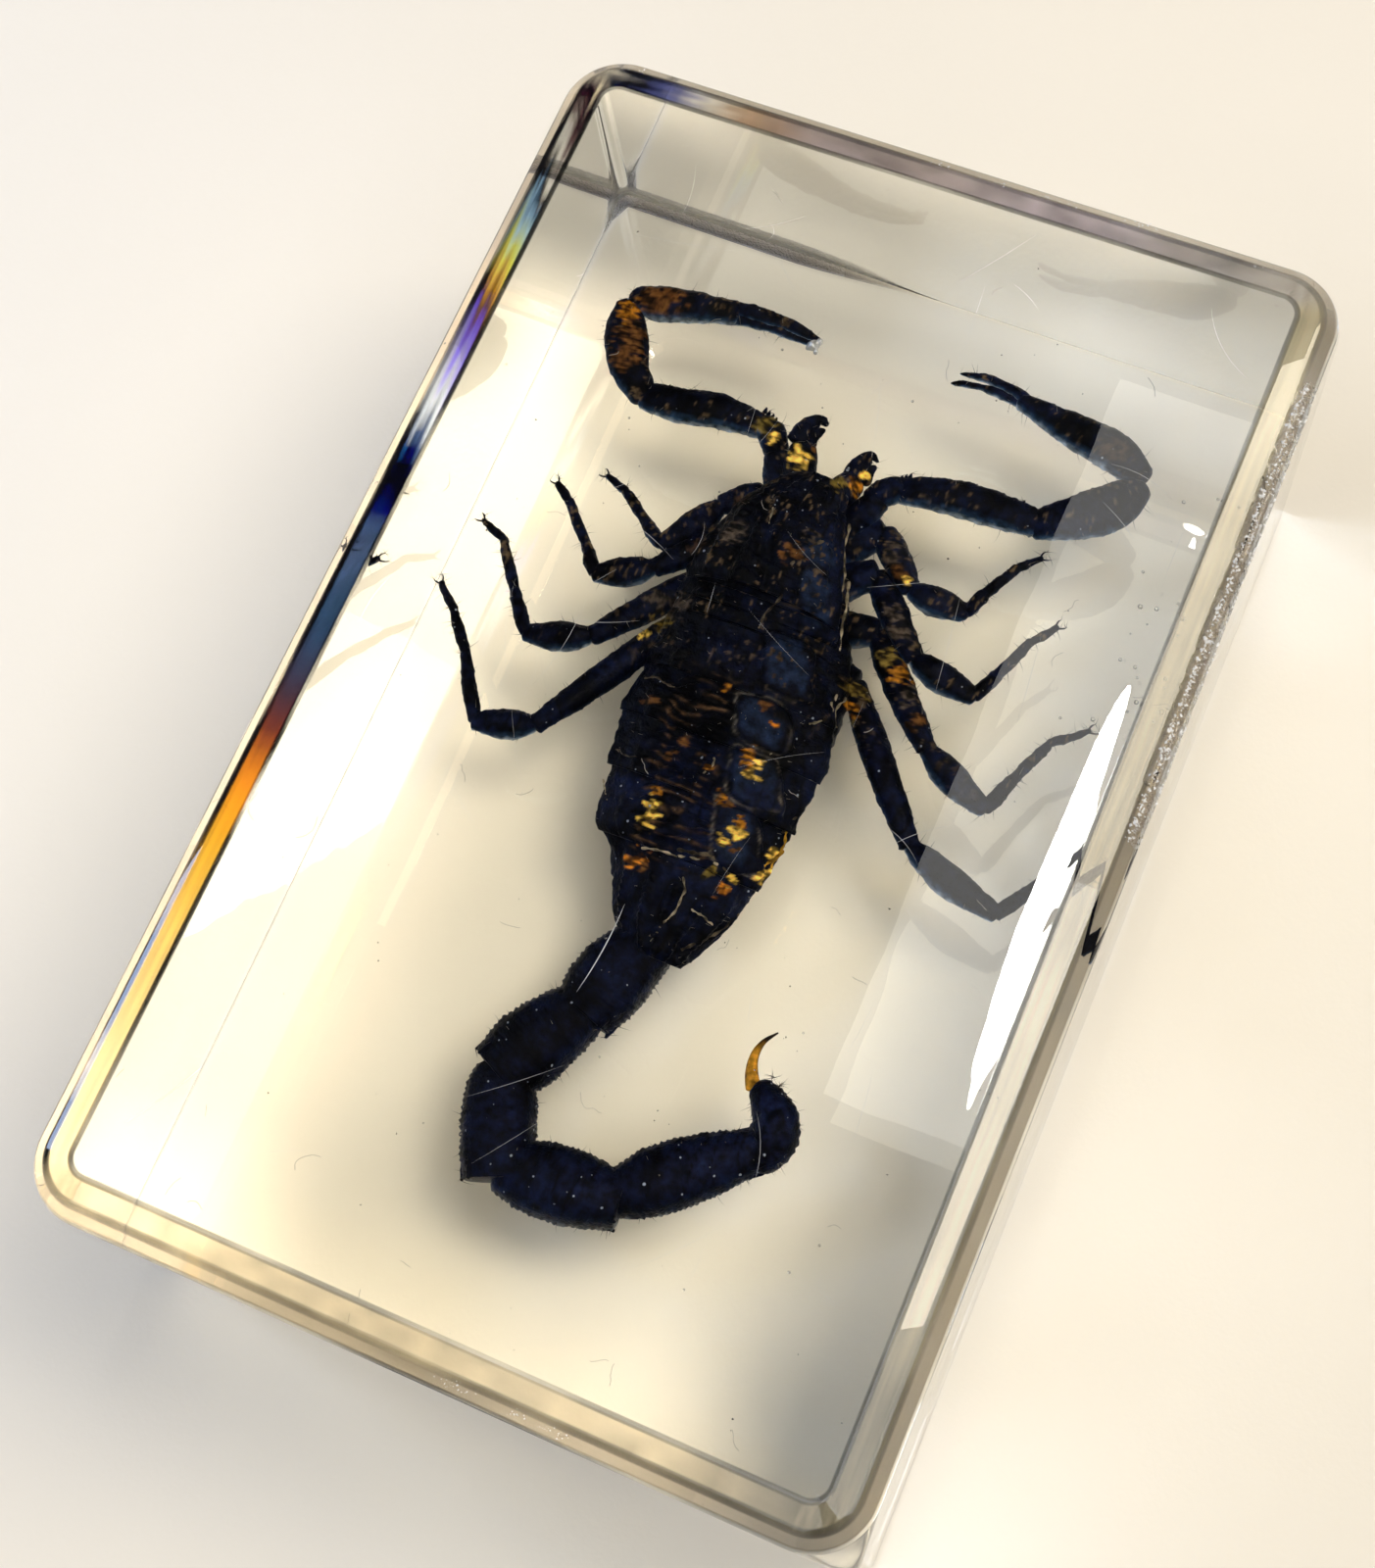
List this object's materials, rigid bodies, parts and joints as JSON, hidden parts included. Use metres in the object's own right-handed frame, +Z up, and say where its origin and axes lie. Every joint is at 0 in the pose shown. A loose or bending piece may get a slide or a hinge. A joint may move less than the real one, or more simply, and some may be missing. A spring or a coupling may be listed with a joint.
{
  "type": "scorpion in a resin block",
  "caption": "Clear cast resin block with polished top and softened edges, holding a whole dried scorpion; stands flat on its base as a paperweight or specimen.",
  "frame": {"origin": "middle of the block's base, on the surface it rests on", "axes": "+Z up out of the polished top, +Y along the long side towards the scorpion's head, +X to the right seen from above with the head away"},
  "size_m": [0.045, 0.0706, 0.028],
  "materials": {
    "clear_resin": "polished, see-through, faintly yellow",
    "chitin": "blue-black, finely wrinkled and granular, glossy",
    "amber_chitin": "thin, translucent amber-brown",
    "setae": "fine stiff hairs",
    "inclusions": "air bubbles, lint and dust sealed in the resin"
  },
  "bodies": {
    "root": {"resin_block": "clear_resin"}
  },
  "joints": []
}
